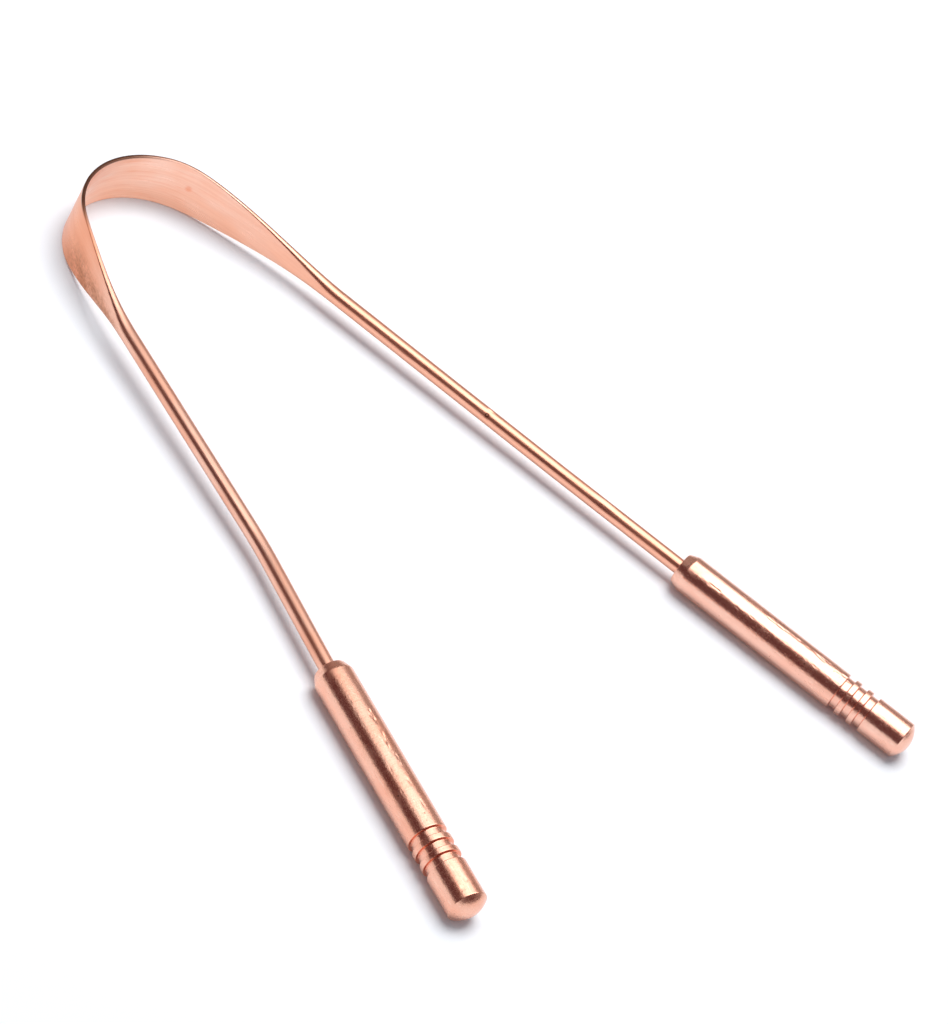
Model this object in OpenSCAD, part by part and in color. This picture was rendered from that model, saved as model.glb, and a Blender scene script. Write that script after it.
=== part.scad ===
// Copper tongue scraper.
// One length of round wire has its middle rolled flat and bent into a U, which is the blade.
// Each end of the wire is seated in the blind bore of a turned handle.
// It lies as it is set down on a table: +Y points to the crown of the blade, +Z is up,
// and the origin is the middle of the footprint.

/* [Handles] */
// Diameter of each turned handle
handle_diameter = 5.6; // [4.6:0.1:8]
// Length of each handle from its head face to the tip of its tail
handle_length = 40.3; // [32:0.1:60]
// Length along the axis of the bevel at the head
head_bevel_length = 1.4; // [0.4:0.1:2]
// How far that bevel goes in from the side
head_bevel_depth = 0.55; // [0.2:0.05:0.65]
// Length along the axis of the bevel at the tail
tail_bevel_length = 0.5; // [0.2:0.1:0.8]
// How far that bevel goes in from the side
tail_bevel_depth = 0.4; // [0.2:0.05:0.8]
// How far the tail face is crowned
tail_crown_rise = 0.6; // [0.1:0.05:0.8]

/* [Finger grooves] */
// Number of turned grooves near the tail
groove_count = 3; // [1:1:5]
// Width of each groove
groove_width = 1.2; // [0.6:0.1:1.6]
// Depth of each groove
groove_depth = 0.4; // [0.2:0.05:0.6]
// Width of the band left between two grooves
groove_land = 0.85; // [0.5:0.05:1.5]
// Length of the plain band between the last groove and the tail bevel
tail_band = 5.9; // [3:0.1:9]

/* [Wire] */
// Diameter of the round wire
wire_diameter = 2.3; // [1.8:0.1:3]
// How deep the wire goes into each handle
socket_depth = 12; // [6:0.5:20]
// Free length of the right arm, from the blade's neck to the handle
right_arm_length = 61.5; // [45:0.5:100]
// Free length of the left arm, from the blade's neck to the handle
left_arm_length = 59; // [45:0.5:100]
// Distance from each handle's head to the bend in its arm
bend_distance = 22; // [15:1:35]
// Distance from the left handle's head to the slight turn where the wire enters it
seat_bend_distance = 1.5; // [1.5:0.5:4]
// Radius of these bends, on the wire's centre line
bend_radius = 60; // [20:5:75]

/* [Spread of the arms] */
// Angle of the right arm from the long axis
right_splay_deg = 14; // [8:0.2:18]
// Angle of the left arm from the long axis, between the blade and its bend
left_splay_deg = 10; // [5:0.2:14]
// How far the left arm's bend turns it outward
left_bend_deg = 6; // [0:0.2:8]
// How far the left handle turns back inward from its wire
left_seat_deg = 2; // [0:0.2:2.4]

/* [Blade] */
// Width of the flat blade from edge to edge, which is how high it stands
blade_width = 8.1; // [5:0.1:10]
// Length over which the right end widens from round wire to full blade
right_neck_length = 31; // [16:1:36]
// Length over which the left end widens from round wire to full blade
left_neck_length = 21; // [12:1:24]
// Straight length of wire at the right neck, before the bow starts to turn
right_run_length = 4.5; // [3:0.5:20]
// Length of the nearly straight run at the left neck
left_run_length = 18.5; // [12:0.5:34]
// Turn of that run
left_run_turn_deg = 12.5; // [0:0.5:16]
// Radius of the long easy curve after the right neck
flank_radius = 92; // [60:1:120]
// Turn of that curve
flank_turn_deg = 13; // [8:1:20]
// Radius of the shoulder
shoulder_radius = 12.5; // [10:0.5:20]
// Turn of the shoulder
shoulder_turn_deg = 33; // [15:1:60]
// Radius of the crown
crown_radius = 14.1; // [10:0.1:20]
// Height of the wire's centre at the right neck
right_neck_height = 3.1; // [2.6:0.1:5]
// Height of the wire's centre at the left neck
left_neck_height = 4.2; // [2.6:0.1:5]

/* [Hidden] */

// Facets of true round faces
$fn = 48;
// Points on each rounded edge of the blade's section
EDGE_POINTS = 13;
// Stations along each straight and each curved run of the blade
RUN_STATIONS = 3;
ARC_STATIONS = 15;
// Stations round the bend in each arm
BEND_STATIONS = 7;
// Steps of the crowned tail face
CROWN_STEPS = 5;
// How far a cut runs past the face that it opens
overrun = 0.5;

// Sizes that follow from the ones above
handle_radius = handle_diameter / 2;
wire_radius = wire_diameter / 2;
half_turn_deg = 180;
crown_turn_deg = half_turn_deg - right_splay_deg - left_splay_deg
    - flank_turn_deg - shoulder_turn_deg - left_run_turn_deg;
handle_axis_height = handle_radius;
blade_height = blade_width / 2;
copper_pink = [0.86, 0.54, 0.42];
handle_pink = [0.83, 0.50, 0.38];

// Vector helpers
function unit(v) = v / norm(v);
function flat_dir(heading) = [cos(heading), sin(heading), 0];
function arc_length(radius, turn) = radius * turn * PI / half_turn_deg;
function eased(x) = let (u = min(max(x, 0), 1)) u * u * (3 - 2 * u);

// The bow seen from above, from the right neck to the left neck: length and turn of each run
runs = [
    [right_run_length, 0],
    [arc_length(flank_radius, flank_turn_deg), flank_turn_deg],
    [arc_length(shoulder_radius, shoulder_turn_deg), shoulder_turn_deg],
    [arc_length(crown_radius, crown_turn_deg), crown_turn_deg],
    [left_run_length, left_run_turn_deg]
];

// Place and heading at the end of a run, or part of one: a pose is [x, y, heading, distance]
function chord(run) = run[1] == 0 ? run[0] : run[0] * sin(run[1] / 2) / (run[1] / 2 * PI / half_turn_deg);
function advance(pose, run) =
    let (mid = pose[2] + run[1] / 2)
    [pose[0] + chord(run) * cos(mid), pose[1] + chord(run) * sin(mid), pose[2] + run[1], pose[3] + run[0]];
function part_of(run, share) = [run[0] * share, run[1] * share];
function run_start(i) = i == 0 ? [0, 0, 90 + right_splay_deg, 0] : advance(run_start(i - 1), runs[i - 1]);
function stations_in(i) = runs[i][1] == 0 ? RUN_STATIONS : ARC_STATIONS;
poses = concat(
    [for (i = [0 : len(runs) - 1])
        let (start = run_start(i), steps = stations_in(i))
        for (j = [0 : steps - 1]) advance(start, part_of(runs[i], j / steps))],
    [run_start(len(runs))]
);
last_pose = poses[len(poses) - 1];
bow_length = last_pose[3];

// Height of the wire's centre: the blade stands on its lower edge, and while each neck widens
// its centre goes smoothly from the height of its arm to the middle of the blade
right_rise = (right_neck_height - handle_axis_height) / (right_arm_length - bend_distance);
left_rise = (left_neck_height - handle_axis_height) / (left_arm_length - bend_distance);
function hermite(a, slope_a, b, slope_b, span, u) =
    a * (1 - eased(u)) + b * eased(u) + span * u * (1 - u) * ((1 - u) * slope_a - u * slope_b);
function hermite_slope(a, slope_a, b, slope_b, span, u) =
    6 * u * (1 - u) * (b - a) / span
    + (1 - 4 * u + 3 * u * u) * slope_a
    + (3 * u * u - 2 * u) * slope_b;
function right_share(s) = min(s / right_neck_length, 1);
function left_share(s) = min((bow_length - s) / left_neck_length, 1);
function centre_height(s) = right_share(s) < 1
    ? hermite(right_neck_height, right_rise, blade_height, 0, right_neck_length, right_share(s))
    : hermite(left_neck_height, left_rise, blade_height, 0, left_neck_length, left_share(s));
function centre_slope(s) = right_share(s) < 1
    ? hermite_slope(right_neck_height, right_rise, blade_height, 0, right_neck_length, right_share(s))
    : -hermite_slope(left_neck_height, left_rise, blade_height, 0, left_neck_length, left_share(s));

// Rolling keeps the section's area, so a wider blade is a thinner one with round edges
wire_area = PI * wire_radius * wire_radius;
edge_share = 1 - PI / 4;
function rolled_thickness(width) =
    (width - sqrt(width * width - 4 * edge_share * wire_area)) / (2 * edge_share);
function width_at(s) =
    wire_diameter + (blade_width - wire_diameter)
    * min(eased(right_share(s)), eased(left_share(s)));

// Outline of one section of the wire: two flat faces joined by half-round edges.
// Where the width is the wire's own diameter, the flats are gone and it is round.
upright = [0, 0, 1];
ring_size = 2 * EDGE_POINTS;
function ring(centre, tangent, width) =
    let (
        thickness = rolled_thickness(width),
        across = unit(upright - (upright * tangent) * tangent),
        through = cross(tangent, across),
        flat = (width - thickness) / 2
    )
    [for (side = [1, -1], i = [0 : EDGE_POINTS - 1])
        let (a = half_turn_deg * (i + 0.5) / EDGE_POINTS)
        centre + side * (flat + thickness / 2 * sin(a)) * across + side * thickness / 2 * cos(a) * through];

// Faces of the skin over a row of rings, with a cap at each end
function skin(count) = concat(
    [[for (i = [ring_size - 1 : -1 : 0]) i]],
    [for (r = [0 : count - 2], i = [0 : ring_size - 1])
        let (j = (i + 1) % ring_size, near = r * ring_size, far = near + ring_size)
        each [[near + i, far + j, far + i], [near + i, near + j, far + j]]],
    [[for (i = [0 : ring_size - 1]) (count - 1) * ring_size + i]]
);

function bow_tangent(pose) = unit([cos(pose[2]), sin(pose[2]), centre_slope(pose[3])]);
blade_rings = [for (pose = poses)
    ring([pose[0], pose[1], centre_height(pose[3])], bow_tangent(pose), width_at(pose[3]))];

// The two arms: from the neck down to the bend, then level to the handle.
// The left wire turns a little once more just before its handle.
right_axis = flat_dir(270 + right_splay_deg);
left_lower_dir = flat_dir(270 - left_splay_deg - left_bend_deg);
left_axis = flat_dir(270 - left_splay_deg - left_bend_deg + left_seat_deg);
right_neck = [poses[0][0], poses[0][1], right_neck_height];
left_neck = [last_pose[0], last_pose[1], left_neck_height];
right_upper = flat_dir(poses[0][2]) + [0, 0, right_rise];
left_upper = flat_dir(last_pose[2]) - [0, 0, left_rise];
right_bend = right_neck - (right_arm_length - bend_distance) * right_upper;
left_bend = left_neck + (left_arm_length - bend_distance) * left_upper;
right_head = right_bend + bend_distance * right_axis;
left_seat_bend = left_bend + (bend_distance - seat_bend_distance) * left_lower_dir;
left_head = left_seat_bend + seat_bend_distance * left_axis;

// Rings round one bend of an arm, between the points before and after its corner
function bend_rings(before, corner, after) =
    let (
        into = unit(corner - before),
        onward = unit(after - corner),
        turn = acos(min(into * onward, 1)),
        steps = turn > 0 ? BEND_STATIONS : 1,
        inward = turn > 0 ? unit(onward - (onward * into) * into) : upright,
        start = corner - bend_radius * tan(turn / 2) * into
    )
    [for (j = [0 : steps - 1])
        let (a = turn * j / max(steps - 1, 1))
        ring(start + bend_radius * (sin(a) * into + (1 - cos(a)) * inward),
            cos(a) * into + sin(a) * inward, wire_diameter)];

// Corner points of each arm: the neck, its bends, and the end in the handle's socket
right_line = [right_neck, right_bend, right_head + socket_depth * right_axis];
left_line = [left_neck, left_bend, left_seat_bend, left_head + socket_depth * left_axis];

// Rings of one arm along its corner points
function arm_rings(line) =
    let (last = len(line) - 1)
    concat(
        [ring(line[0], unit(line[1] - line[0]), wire_diameter)],
        [for (i = [1 : last - 1]) each bend_rings(line[i - 1], line[i], line[i + 1])],
        [ring(line[last], unit(line[last] - line[last - 1]), wire_diameter)]
    );

// The turned handle in profile, from its head at zero to its tail
tail_face_radius = handle_radius - tail_bevel_depth;
tail_face_start = handle_length - tail_crown_rise;
tail_bevel_start = tail_face_start - tail_bevel_length;
groove_pitch = groove_width + groove_land;
groove_start = tail_bevel_start - tail_band - groove_count * groove_pitch + groove_land;
groove_floor = handle_radius - groove_depth;
handle_profile = concat(
    [[0, 0], [handle_radius - head_bevel_depth, 0], [handle_radius, head_bevel_length]],
    [for (i = [0 : groove_count - 1])
        let (near = groove_start + i * groove_pitch, far = near + groove_width)
        each [[handle_radius, near], [groove_floor, near], [groove_floor, far], [handle_radius, far]]],
    [[handle_radius, tail_bevel_start]],
    [for (i = [0 : CROWN_STEPS])
        let (share = 1 - i / CROWN_STEPS)
        [tail_face_radius * share, tail_face_start + tail_crown_rise * (1 - share * share)]]
);

// The origin: the middle of the footprint of the blade and both handles
rightward = [1, 0, 0];
forward = [0, -1, 0];
function reach(head, axis, direction) = max([for (p = handle_profile)
    head * direction + p[1] * (axis * direction) + p[0] * norm(cross(axis, direction))]);
right_side = reach(right_head, right_axis, rightward);
left_side = -reach(left_head, left_axis, -rightward);
front = -max(reach(right_head, right_axis, forward), reach(left_head, left_axis, forward));
back = max([for (section = blade_rings, p = section) p[1]]);
footprint_centre = [(right_side + left_side) / 2, (front + back) / 2, 0];

// Stands the children's +Z along a direction, with their origin at a place
module along(place, direction) {
    translate(place)
        rotate([0, acos(direction[2]), atan2(direction[1], direction[0])])
            children();
}

module wire_skin(rings) {
    polyhedron(points = [for (section = rings, p = section) p], faces = skin(len(rings)), convexity = 6);
}

module turned_handle() {
    difference() {
        rotate_extrude() polygon(handle_profile);
        translate([0, 0, -overrun]) cylinder(h = socket_depth + overrun, r = wire_radius);
    }
}

// The rolled blade, bent to its U, with a neck at each end that runs out to round wire
module blade_bow() {
    color(copper_pink)
        translate(-footprint_centre)
            wire_skin(blade_rings);
}

module right_shank() {
    color(copper_pink)
        translate(-footprint_centre)
            wire_skin(arm_rings(right_line));
}

module left_shank() {
    color(copper_pink)
        translate(-footprint_centre)
            wire_skin(arm_rings(left_line));
}

module right_handle() {
    color(handle_pink)
        translate(-footprint_centre)
            along(right_head, right_axis)
                turned_handle();
}

module left_handle() {
    color(handle_pink)
        translate(-footprint_centre)
            along(left_head, left_axis)
                turned_handle();
}

blade_bow();
right_shank();
left_shank();
right_handle();
left_handle();
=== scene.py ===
# %% [markdown]
# # A copper tongue scraper on a white table
#
# The real tool is one length of round copper wire. Its middle is rolled flat and bent into
# a U, which is the blade, and each end is seated in a turned copper handle. This lesson
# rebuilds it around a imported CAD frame: the frame says where everything is and how it
# moves, and the cells below make the smooth surfaces and the metal that the eye sees.

# %% Load the frame and keep its box
import math
import random

import bpy
from mathutils import Matrix, Vector


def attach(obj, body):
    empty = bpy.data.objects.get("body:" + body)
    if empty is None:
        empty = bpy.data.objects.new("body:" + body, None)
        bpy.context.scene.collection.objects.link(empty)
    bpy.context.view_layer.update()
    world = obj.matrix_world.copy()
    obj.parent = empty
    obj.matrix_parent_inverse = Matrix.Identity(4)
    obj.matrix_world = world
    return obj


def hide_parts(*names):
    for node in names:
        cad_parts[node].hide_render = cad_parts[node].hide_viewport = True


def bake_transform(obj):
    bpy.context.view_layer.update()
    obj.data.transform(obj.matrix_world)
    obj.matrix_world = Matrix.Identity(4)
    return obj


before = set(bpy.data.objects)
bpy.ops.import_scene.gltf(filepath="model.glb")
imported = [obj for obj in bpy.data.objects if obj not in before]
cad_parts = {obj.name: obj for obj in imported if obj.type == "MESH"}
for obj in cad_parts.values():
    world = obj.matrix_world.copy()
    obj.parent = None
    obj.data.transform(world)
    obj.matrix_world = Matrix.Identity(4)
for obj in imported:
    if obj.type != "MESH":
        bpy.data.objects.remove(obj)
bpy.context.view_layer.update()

MM = 0.001

# %% [markdown]
# ## The camera comes first
#
# The photograph looks across the tool from its left side, 39 degrees above the table, and
# the camera is turned 31 degrees about its own line of sight. Far handle and near handle
# come out almost the same size, so the lens stands well back: 625 mm from the tool. The
# picture is taller than wide, so the sensor is fitted to its height.

# %% The camera
VIEW_AZIMUTH = math.radians(-64.68)
VIEW_ELEVATION = math.radians(38.84)
VIEW_ROLL = math.radians(30.99)
VIEW_DISTANCE = 625.4 * MM
LOOK_AT = Vector((11.98, -4.01, 0.0)) * MM
LENS_MM = 159.0
SENSOR_HEIGHT_MM = 36.0
NEAREST_SEEN, FARTHEST_SEEN = 0.01, 20.0

toward_camera = Vector((
    math.sin(VIEW_AZIMUTH) * math.cos(VIEW_ELEVATION),
    -math.cos(VIEW_AZIMUTH) * math.cos(VIEW_ELEVATION),
    math.sin(VIEW_ELEVATION),
))
camera_data = bpy.data.cameras.new("photo_lens")
camera_data.sensor_fit = "VERTICAL"
camera_data.sensor_height = SENSOR_HEIGHT_MM
camera_data.lens = LENS_MM
camera_data.clip_start, camera_data.clip_end = NEAREST_SEEN, FARTHEST_SEEN
camera = bpy.data.objects.new("photo_camera", camera_data)
bpy.context.collection.objects.link(camera)
camera.location = LOOK_AT + VIEW_DISTANCE * toward_camera
facing = (LOOK_AT - camera.location).to_track_quat("-Z", "Y").to_matrix()
camera.rotation_euler = (facing @ Matrix.Rotation(VIEW_ROLL, 3, "Z")).to_euler()
bpy.context.scene.camera = camera
bpy.context.scene.view_settings.view_transform = "Standard"
print("camera at mm:", [round(c / MM, 1) for c in camera.location])

# %% [markdown]
# ## The line of the wire
#
# The bow is bent by hand over a round former: a straight neck, a long easy curve, a
# shoulder, the crown, and a nearly straight run back to the left neck. The CAD model
# joins true arcs. A real strip of metal can't change its curve at a point, so here the
# heading is averaged over a few millimetres, which keeps the reflections flowing.

# %% Heading along the bow
# Each run is (length in mm, turn in degrees), and a curve's length is its turn times its radius.
RUNS = [
    (4.5, 0.0),
    (math.radians(13.0) * 92.0, 13.0),
    (math.radians(33.0) * 12.5, 33.0),
    (math.radians(97.5) * 14.1, 97.5),
    (18.5, 12.5),
]
START_HEADING_DEG = 104.0
END_HEADING_DEG = START_HEADING_DEG + sum(turn for length, turn in RUNS)
BOW_LENGTH = sum(length for length, turn in RUNS)
CROWN_RUN = 3
CROWN_DISTANCE = sum(length for length, turn in RUNS[:CROWN_RUN]) + RUNS[CROWN_RUN][0] / 2
BEND_SOFTNESS = 3.0
SOFTNESS_SAMPLES = 12


def sharp_heading(s):
    """Heading in degrees on the CAD line, straight on past either neck."""
    heading = START_HEADING_DEG
    for length, turn in RUNS:
        if s <= 0:
            break
        heading += turn * min(s / length, 1.0)
        s -= length
    return heading


def soft_heading(s):
    """The same, averaged over the stretch that one bend takes to start."""
    total = weight_sum = 0.0
    for i in range(-SOFTNESS_SAMPLES, SOFTNESS_SAMPLES + 1):
        weight = math.cos(0.5 * math.pi * i / (SOFTNESS_SAMPLES + 1)) ** 2
        total += weight * sharp_heading(s + BEND_SOFTNESS * i / SOFTNESS_SAMPLES)
        weight_sum += weight
    return total / weight_sum


print("bow length", round(BOW_LENGTH, 2), "mm, crown at", round(CROWN_DISTANCE, 2), "mm")

# %% Places along the bow
WALK_STEP = 0.05


def walk(heading_at):
    """Places every WALK_STEP mm along the bow, from the right neck at (0, 0)."""
    x = y = 0.0
    places = [(x, y)]
    for i in range(round(BOW_LENGTH / WALK_STEP)):
        heading = math.radians(heading_at((i + 0.5) * WALK_STEP))
        x += WALK_STEP * math.cos(heading)
        y += WALK_STEP * math.sin(heading)
        places.append((x, y))
    return places


sharp_line = walk(sharp_heading)
soft_line = walk(soft_heading)
slip_x = sharp_line[-1][0] - soft_line[-1][0]
slip_y = sharp_line[-1][1] - soft_line[-1][1]
print("the soft line ends off by", round(math.hypot(slip_x, slip_y), 3), "mm, which is shared out")

# %% [markdown]
# ## The section of the wire
#
# Rolling squeezes the round wire between two rollers. It gets wider and thinner but keeps
# its area, and its edges stay half round. So one rule gives every section: pick the width,
# and the thickness follows.

# %% Width and thickness along the wire
WIRE_DIAMETER = 2.3
BLADE_WIDTH = 8.1
RIGHT_NECK_LENGTH = 31.0
LEFT_NECK_LENGTH = 21.0
WIRE_AREA = math.pi * WIRE_DIAMETER ** 2 / 4
# The corners that two half-round edges leave out, as a share of the thickness squared
EDGE_SHARE = 1.0 - math.pi / 4


def eased(x):
    """0 to 1 with a gentle start and end."""
    u = min(max(x, 0.0), 1.0)
    return u * u * (3.0 - 2.0 * u)


def width_at(s):
    share = min(eased(s / RIGHT_NECK_LENGTH), eased((BOW_LENGTH - s) / LEFT_NECK_LENGTH))
    return WIRE_DIAMETER + (BLADE_WIDTH - WIRE_DIAMETER) * share


def flat_share(width):
    """0 on round wire, 1 on the full blade."""
    return (width - WIRE_DIAMETER) / (BLADE_WIDTH - WIRE_DIAMETER)


def thickness_at(width):
    """The thickness that keeps width * thickness - EDGE_SHARE * thickness**2 at WIRE_AREA."""
    root = math.sqrt(width * width - 4.0 * EDGE_SHARE * WIRE_AREA)
    return (width - root) / (2.0 * EDGE_SHARE)


print("blade thickness", round(thickness_at(BLADE_WIDTH), 3), "mm at full width")

# %% [markdown]
# ## How high the wire runs
#
# The tool lies on its handles and on the blade's lower edge. So the heights at both ends of
# a neck are known, and between them the wire rises in one smooth curve that leaves the arm
# at the arm's own slope and meets the blade level. A Hermite curve does just that.

# %% Height of the centre line
HANDLE_AXIS_HEIGHT = 2.8
RIGHT_NECK_HEIGHT = 3.1
LEFT_NECK_HEIGHT = 4.2
BLADE_HEIGHT = BLADE_WIDTH / 2
RIGHT_ARM_LENGTH = 61.5
LEFT_ARM_LENGTH = 59.0
BEND_DISTANCE = 22.0
RIGHT_RISE = (RIGHT_NECK_HEIGHT - HANDLE_AXIS_HEIGHT) / (RIGHT_ARM_LENGTH - BEND_DISTANCE)
LEFT_RISE = (LEFT_NECK_HEIGHT - HANDLE_AXIS_HEIGHT) / (LEFT_ARM_LENGTH - BEND_DISTANCE)


def neck_height(height, rise, length, distance):
    """Height at a distance up the neck, from the neck's own height and rise to the blade's."""
    u = min(distance / length, 1.0)
    ease = eased(u)
    return height * (1 - ease) + BLADE_HEIGHT * ease + length * u * (1 - u) ** 2 * rise


def centre_height(s):
    if s < CROWN_DISTANCE:
        return neck_height(RIGHT_NECK_HEIGHT, RIGHT_RISE, RIGHT_NECK_LENGTH, s)
    return neck_height(LEFT_NECK_HEIGHT, LEFT_RISE, LEFT_NECK_LENGTH, BOW_LENGTH - s)


print("the arms rise", round(100 * RIGHT_RISE, 2), "and", round(100 * LEFT_RISE, 2), "mm in 100")

# %% [markdown]
# ## One centre line from socket to crown, on each side
#
# Each arm runs from its neck to a slight bend and on into the handle's bore. The bend is a
# real curve of 60 mm radius, because a hand can't fold 2.3 mm wire sharply. The line is
# given as a function of distance, so that any spacing of sections can be drawn from it.

# %% Corners of the two arms
FOOTPRINT_CENTRE = Vector((-18.0372, -33.8773, 0.0))
WIRE_IN_SOCKET = 11.6
LEFT_BEND_DEG = 6.0
LEFT_SEAT_DEG = 2.0
SEAT_DISTANCE = 1.5


def flat_direction(heading_deg):
    return Vector((math.cos(math.radians(heading_deg)), math.sin(math.radians(heading_deg)), 0.0))


def bow_point(s):
    """Centre of the strip at distance s from the right neck, in mm."""
    t = min(max(s / WALK_STEP, 0.0), len(soft_line) - 1.001)
    i = int(t)
    (x1, y1), (x2, y2), share = soft_line[i], soft_line[i + 1], t - int(t)
    x = x1 * (1 - share) + x2 * share + slip_x * s / BOW_LENGTH
    y = y1 * (1 - share) + y2 * share + slip_y * s / BOW_LENGTH
    return Vector((x, y, centre_height(s))) - FOOTPRINT_CENTRE


RIGHT_AXIS = flat_direction(START_HEADING_DEG + 180.0)
LEFT_LOWER = flat_direction(END_HEADING_DEG - LEFT_BEND_DEG)
LEFT_AXIS = flat_direction(END_HEADING_DEG - LEFT_BEND_DEG + LEFT_SEAT_DEG)
right_neck, left_neck = bow_point(0.0), bow_point(BOW_LENGTH)
right_bend = right_neck - (RIGHT_ARM_LENGTH - BEND_DISTANCE) * (
    flat_direction(START_HEADING_DEG) + Vector((0, 0, RIGHT_RISE)))
left_bend = left_neck + (LEFT_ARM_LENGTH - BEND_DISTANCE) * (
    flat_direction(END_HEADING_DEG) - Vector((0, 0, LEFT_RISE)))
right_head = right_bend + BEND_DISTANCE * RIGHT_AXIS
left_seat = left_bend + (BEND_DISTANCE - SEAT_DISTANCE) * LEFT_LOWER
left_head = left_seat + SEAT_DISTANCE * LEFT_AXIS
print("right head", [round(c, 3) for c in right_head],
      "left head", [round(c, 3) for c in left_head])

# %% The arms as rounded lines
BEND_RADIUS = 60.0
FEWEST_ARC_STEPS = 4


def rounded_line(corners):
    """Points of a line whose inner corners are arcs, about one every millimetre."""
    points = [corners[0]]
    for before, corner, after in zip(corners, corners[1:], corners[2:]):
        into, onward = (corner - before).normalized(), (after - corner).normalized()
        turn = into.angle(onward)
        start = corner - BEND_RADIUS * math.tan(turn / 2) * into
        inward = (onward - onward.dot(into) * into).normalized()
        steps = max(FEWEST_ARC_STEPS, round(BEND_RADIUS * turn))
        for i in range(steps + 1):
            a = turn * i / steps
            points.append(start + BEND_RADIUS * (math.sin(a) * into + (1 - math.cos(a)) * inward))
    points.append(corners[-1])
    return points


def line_length(points):
    return sum((b - a).length for a, b in zip(points, points[1:]))


right_arm_line = rounded_line(
    [right_neck, right_bend, right_head + WIRE_IN_SOCKET * RIGHT_AXIS])
left_arm_line = rounded_line(
    [left_neck, left_bend, left_seat, left_head + WIRE_IN_SOCKET * LEFT_AXIS])
RIGHT_REACH, LEFT_REACH = line_length(right_arm_line), line_length(left_arm_line)
print("wire length", round(RIGHT_REACH + BOW_LENGTH + LEFT_REACH, 1), "mm")


# %% The whole wire as a function of distance
def point_along(points, distance):
    """Place at a distance along a line of points."""
    for a, b in zip(points, points[1:]):
        span = (b - a).length
        if distance <= span:
            return a.lerp(b, distance / span)
        distance -= span
    return points[-1] + distance * (points[-1] - points[-2]).normalized()


def wire_point(s):
    """Centre of the whole wire: s is below 0 on the right arm, past the bow on the left."""
    if s < 0.0:
        return point_along(right_arm_line, -s)
    if s > BOW_LENGTH:
        return point_along(left_arm_line, s - BOW_LENGTH)
    return bow_point(s)


print("crown at mm:", [round(c, 2) for c in wire_point(CROWN_DISTANCE)])

# %% [markdown]
# ## The edges of the blade
#
# Rolling leaves half-round edges, which a file dresses to a narrow land with soft corners: a
# sharp edge would cut and a round one wouldn't scrape. A power on the sine and cosine of the
# edge's circle squares it up, from 1 on the round wire to EDGE_POWER on the blade.

# %% A section of the wire
EDGE_STEPS = 14
POLE = math.radians(90.0) / EDGE_STEPS
EDGE_POWER = 0.45
FLAT_SHARES = [-1.0, -0.97, -0.9, -0.7, -0.35, 0.0, 0.35, 0.7, 0.9, 0.97]
# Angles from the flat's normal: across each flat, which lies within POLE, then round each edge
RING_ANGLES = []
for side in (0.0, math.pi):
    RING_ANGLES += [side + share * POLE for share in FLAT_SHARES]
    RING_ANGLES += [side + POLE + (math.pi - 2 * POLE) * i / EDGE_STEPS
                    for i in range(EDGE_STEPS)]


def section_point(angle, width):
    """Across and through coordinates of the section at an angle from the flat's normal."""
    half_thick = thickness_at(width) / 2
    flat = width / 2 - half_thick
    power = 1.0 - (1.0 - EDGE_POWER) * flat_share(width)
    sine, cosine = math.sin(angle), math.cos(angle)
    turned = math.atan2(sine, cosine)
    share = math.copysign(min(abs(turned), math.pi - abs(turned), POLE) / POLE, turned)
    rise = math.copysign(abs(sine) ** power, sine)
    depth = math.copysign(abs(cosine) ** power, cosine)
    return flat * share + half_thick * rise, half_thick * depth


print(len(RING_ANGLES), "points in a section")

# %% [markdown]
# ## Nicks in the arms
#
# Soft copper takes a mark from anything hard. The right arm has one short, deep nick and two
# shallow ones. A bump in the material could only shade them, so each is a smooth hollow in
# the mesh, which bends the long highlight as the real one does.

# %% How deep a nick is
# (place along, height in the section, side toward the camera, length, depth) in mm
DEEP_NICK = (-26.9, 0.78, -1.0, 0.42, 0.06)
NICKS = [DEEP_NICK, (-12.2, 0.5, -1.0, 1.4, 0.03), (-48.0, 0.7, -1.0, 1.8, 0.03)]
NICK_SPREAD = 0.3
FADED_OUT = 3.0


def nick(s, u, v):
    """How far a nick takes the surface in at this place of the section."""
    low = 0.0
    for place, height, side, length, depth in NICKS:
        if abs(s - place) < FADED_OUT * length and v * side > 0:
            low += depth * math.exp(-((s - place) / length) ** 2
                                    - ((u - height) / NICK_SPREAD) ** 2)
    return low


print(len(NICKS), "nicks, the deepest", DEEP_NICK[-1], "mm")

# %% The skin of the wire
UPRIGHT = Vector((0.0, 0.0, 1.0))
TANGENT_REACH = 0.2


def wire_heading(s):
    return (wire_point(s + TANGENT_REACH) - wire_point(s - TANGENT_REACH)).normalized()


def wire_surface(s, angle):
    """Point of the wire's skin in mm."""
    tangent = wire_heading(s)
    across = (UPRIGHT - UPRIGHT.dot(tangent) * tangent).normalized()
    through = tangent.cross(across)
    u, v = section_point(angle, width_at(s))
    kept = 1.0 - nick(s, u, v) / math.hypot(u, v)
    return wire_point(s) + kept * (u * across + v * through)


print("top of the crown at mm:", [round(c, 2) for c in wire_surface(CROWN_DISTANCE, math.pi / 2)])
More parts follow.
